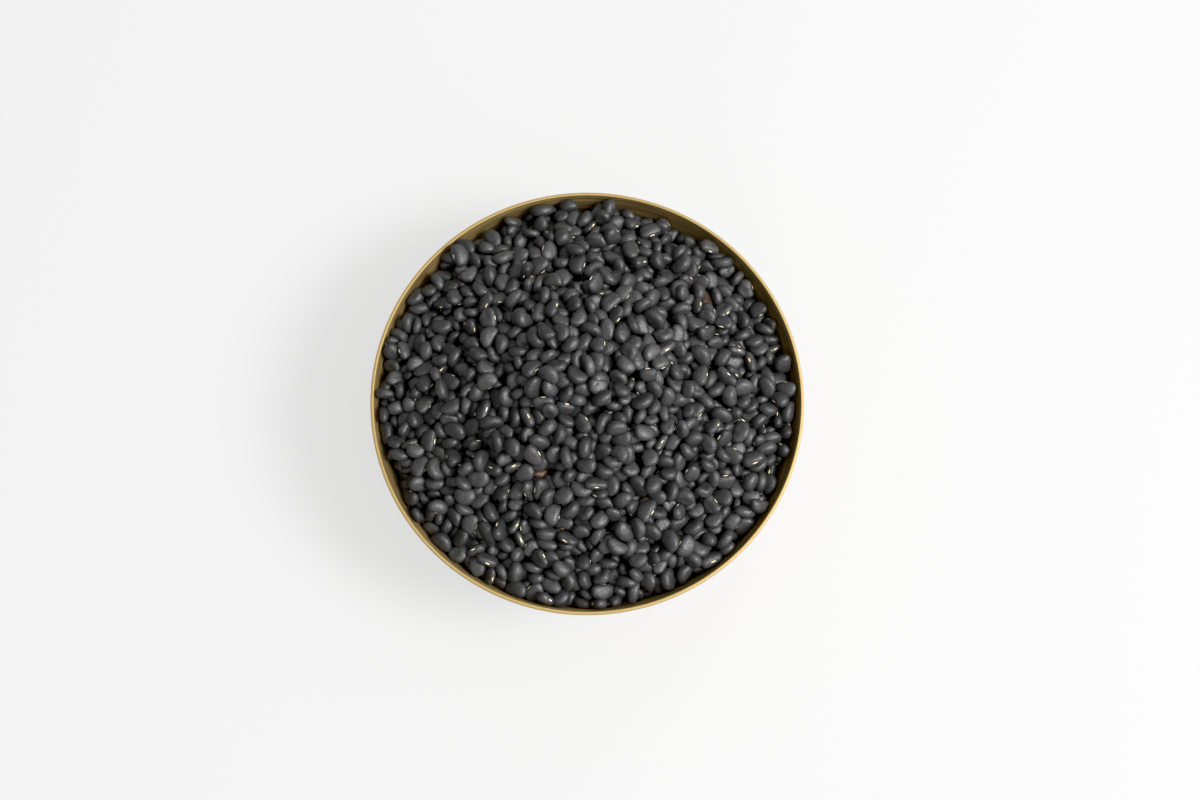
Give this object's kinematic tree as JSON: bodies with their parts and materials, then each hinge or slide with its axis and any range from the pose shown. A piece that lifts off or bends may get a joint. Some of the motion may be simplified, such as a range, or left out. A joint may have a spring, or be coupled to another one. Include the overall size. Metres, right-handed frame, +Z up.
{
  "type": "bowl of dried beans",
  "caption": "Round brass bowl with a slanted wall and a flat base, heaped above its rim with small dried black beans.",
  "frame": {"origin": "middle of the bowl's flat base, on the surface it stands on", "axes": "+Z up, out of the bowl; -Y towards the viewer, so +X is the viewer's right"},
  "size_m": [0.15, 0.15, 0.0725],
  "materials": {
    "brass": "satin",
    "bean_skin": "matte",
    "bean_eye": "matte"
  },
  "bodies": {
    "root": {"bowl": "brass", "beans": "bean_skin"}
  },
  "joints": []
}
